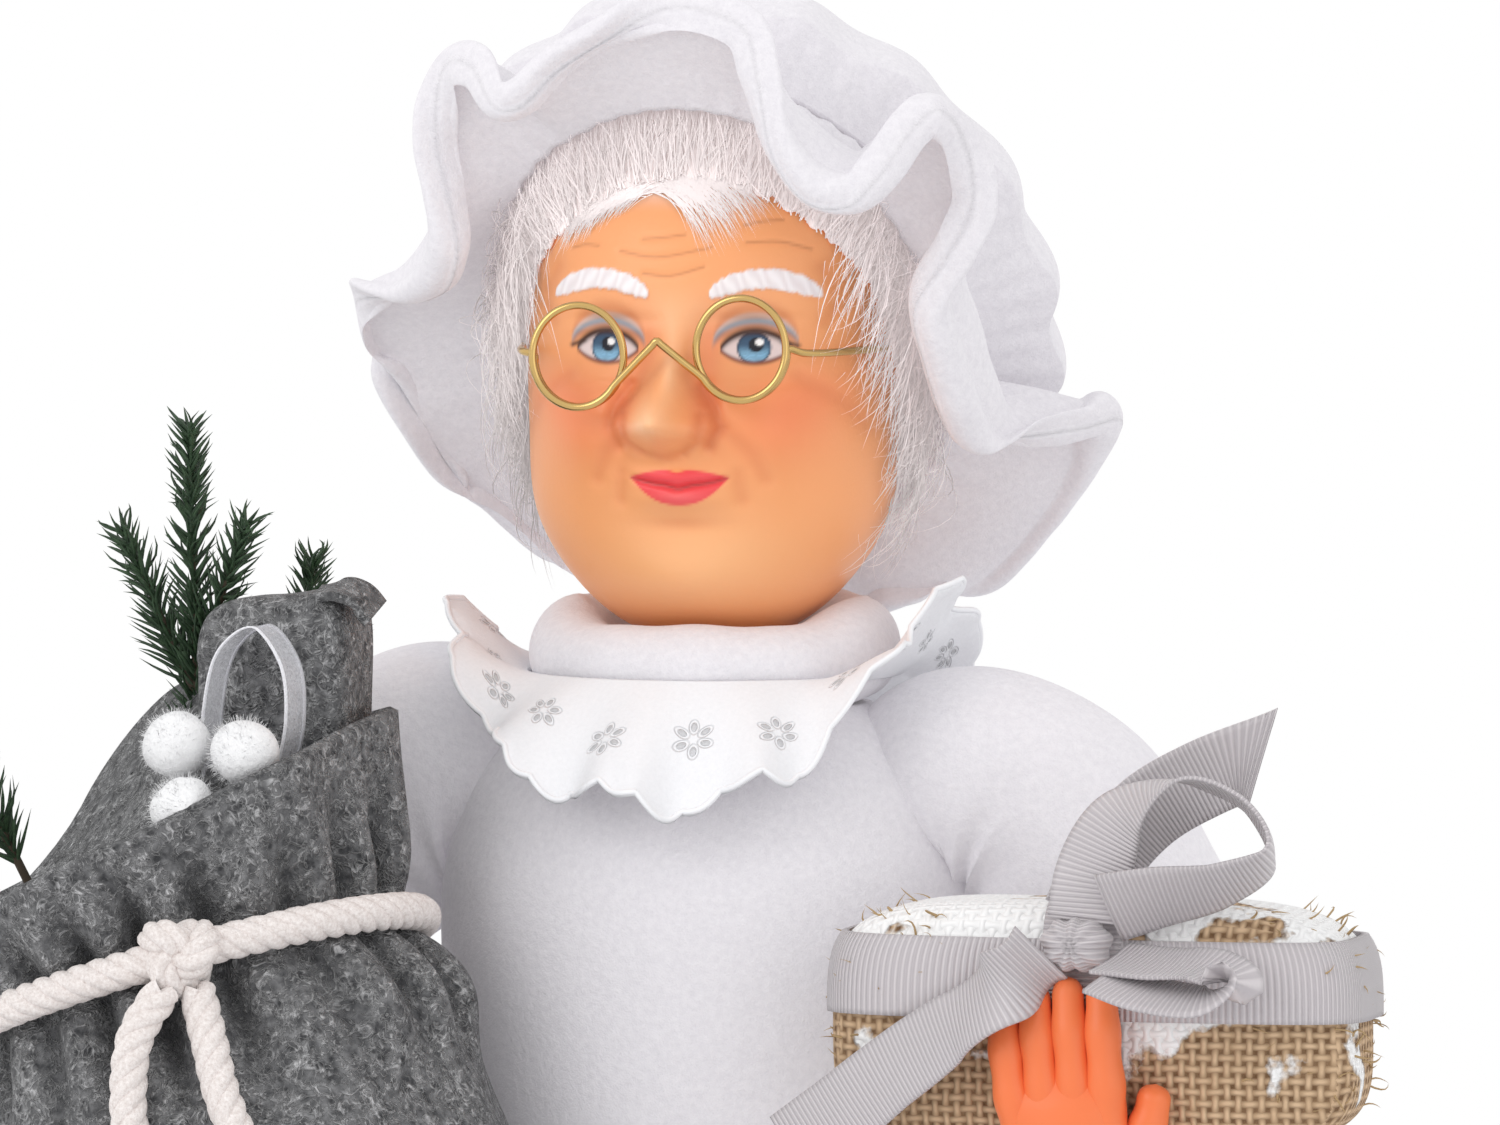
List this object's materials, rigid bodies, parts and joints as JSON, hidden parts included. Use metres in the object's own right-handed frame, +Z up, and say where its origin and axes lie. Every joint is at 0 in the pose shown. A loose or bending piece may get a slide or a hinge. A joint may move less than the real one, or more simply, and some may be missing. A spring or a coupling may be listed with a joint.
{
  "type": "grandmother doll figure",
  "caption": "Standing grandmother doll in a white fleece mob cap and long dress, with wire spectacles, lace collar, a filled felt sack and a wrapped gift.",
  "frame": {"origin": "centre of the base plate's flat underside", "axes": "+Z up along the centre post; the figure faces -Y; +X is the figure's own left"},
  "size_m": [0.2668, 0.219, 0.6138],
  "materials": {
    "wood": "sanded softwood",
    "card": "plain grey-brown card",
    "stuffing": "white stuffed lining",
    "fleece": "matt white napped fleece",
    "lace": "white cotton eyelet lace",
    "vinyl": "soft peach vinyl, satin, painted features",
    "hair": "fine white fibre",
    "gold_wire": "gold plated wire",
    "armature_wire": "dull soft wire",
    "burlap": "coarse jute weave with white flakes",
    "grosgrain": "silver grey ribbed ribbon",
    "felt": "grey heather felt",
    "cotton_cord": "natural twisted cotton",
    "organza": "sheer white organza",
    "pompom": "white fluffy pompom",
    "pine": "dark green foliage"
  },
  "bodies": {
    "trunk": {"base_plate": "wood", "centre_post": "wood", "skirt_cone": "card", "body_core": "stuffing", "dress_skirt": "fleece", "dress_bodice": "fleece", "neckband": "fleece", "lace_collar": "lace"},
    "head": {"head_shell": "vinyl", "wig": "hair", "bonnet_band": "fleece", "bonnet_crown": "fleece", "bonnet_ruffle": "fleece"},
    "spectacles": {"spectacles_wire": "gold_wire"},
    "left_arm": {"left_arm_wire": "armature_wire", "left_sleeve": "fleece", "left_cuff": "fleece", "left_hand": "vinyl", "gift_parcel": "burlap", "gift_ribbon_band": "grosgrain", "bow_knot": "grosgrain", "bow_loop_upper": "grosgrain", "bow_loop_side": "grosgrain", "bow_tail_long": "grosgrain", "bow_tail_short": "grosgrain"},
    "right_arm": {"right_arm_wire": "armature_wire", "right_sleeve": "fleece", "right_cuff": "fleece", "right_hand": "vinyl", "sack": "felt", "sack_filling": "felt", "sack_cord": "cotton_cord", "sack_cord_knot": "cotton_cord", "sack_cord_tail_front": "cotton_cord", "sack_cord_tail_side": "cotton_cord", "felt_parcel": "felt", "organza_ribbon": "organza", "pompom_1": "pompom", "pompom_2": "pompom", "pompom_3": "pompom", "pine_sprig_1": "pine", "pine_sprig_2": "pine", "pine_sprig_3": "pine"}
  },
  "joints": [
    {"name": "neck_swivel", "type": "hinge", "parent": "trunk", "child": "head", "pos_m": [0, 0, 0.486], "axis": [0, 0, 1], "range_deg": [-25, 25]},
    {"name": "spectacles_pull", "type": "slide", "parent": "head", "child": "spectacles", "axis": [0.0872, -0.9962, 0], "range_m": [0, 0.012]},
    {"name": "left_shoulder", "type": "hinge", "parent": "trunk", "child": "left_arm", "pos_m": [0.046, 0, 0.471], "axis": [-1, 0, 0], "range_deg": [0, 14]},
    {"name": "right_shoulder", "type": "hinge", "parent": "trunk", "child": "right_arm", "pos_m": [-0.046, 0, 0.471], "axis": [-1, 0, 0], "range_deg": [0, 10]}
  ]
}
